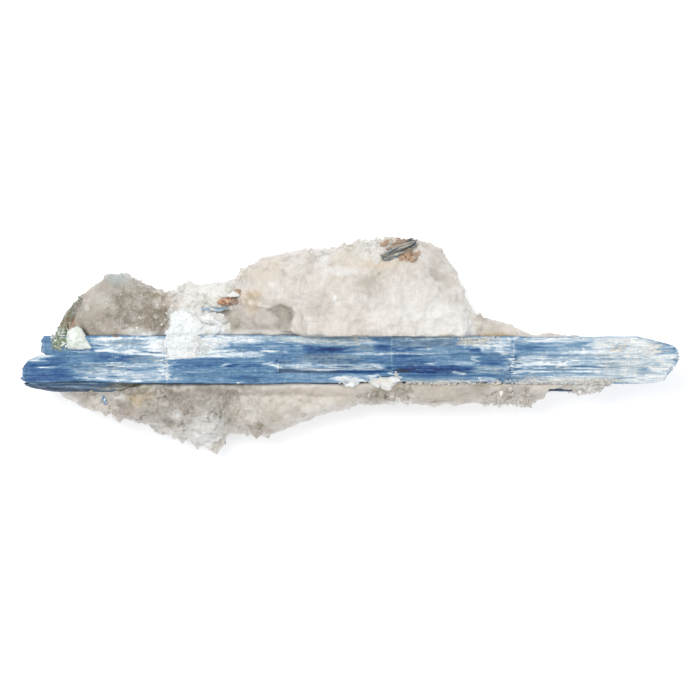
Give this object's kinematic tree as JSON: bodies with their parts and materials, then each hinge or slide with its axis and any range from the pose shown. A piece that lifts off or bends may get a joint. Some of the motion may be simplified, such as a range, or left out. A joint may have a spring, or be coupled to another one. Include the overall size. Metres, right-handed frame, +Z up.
{
  "type": "kyanite blade cluster",
  "caption": "Long flat bundle of blue kyanite laths grown in a low block of milky and smoky quartz, lying on its side to rest on a shelf.",
  "frame": {"origin": "middle of the underside of the object's box, on the surface it rests on", "axes": "+X along the laths towards the free end, +Y across them towards the big quartz block, +Z up out of the lath faces"},
  "size_m": [0.3064, 0.1024, 0.0528],
  "materials": {
    "quartz": "milky to smoky quartz, broken faces with a glassy shine, slightly translucent",
    "kyanite": "blue kyanite, satin to pearly, striped lengthwise in navy, mid blue and white",
    "dark_kyanite": "slate-blue kyanite, satin",
    "white_crust": "white sugary crust, matt",
    "brown_mica": "rust-brown mica, pearly leaves",
    "chlorite": "green-grey chlorite, scaly",
    "green_crystal": "pale green to white crystal, glassy"
  },
  "bodies": {
    "root": {"quartz_matrix": "quartz", "lath_upper_left": "kyanite", "lath_lower_left": "kyanite", "lath_upper_middle": "kyanite", "lath_lower_middle": "kyanite", "lath_lower_strip": "kyanite", "lath_thin_pale": "kyanite", "lath_thin_navy": "kyanite", "lath_upper_centre": "kyanite", "lath_lower_centre": "kyanite", "lath_upper_right": "kyanite", "lath_middle_right": "kyanite", "lath_lower_right": "kyanite", "kyanite_side_lath": "dark_kyanite", "kyanite_under_right": "dark_kyanite", "kyanite_spray": "dark_kyanite", "kyanite_saddle_lath": "kyanite", "kyanite_low_sliver": "kyanite", "crust_break": "white_crust", "crust_near_edge": "white_crust", "crust_saddle_chip": "white_crust", "mica_book_upper": "brown_mica", "mica_book_lower": "brown_mica", "mica_book_saddle": "brown_mica", "chlorite_patch": "chlorite", "green_crystal": "green_crystal"}
  },
  "joints": []
}
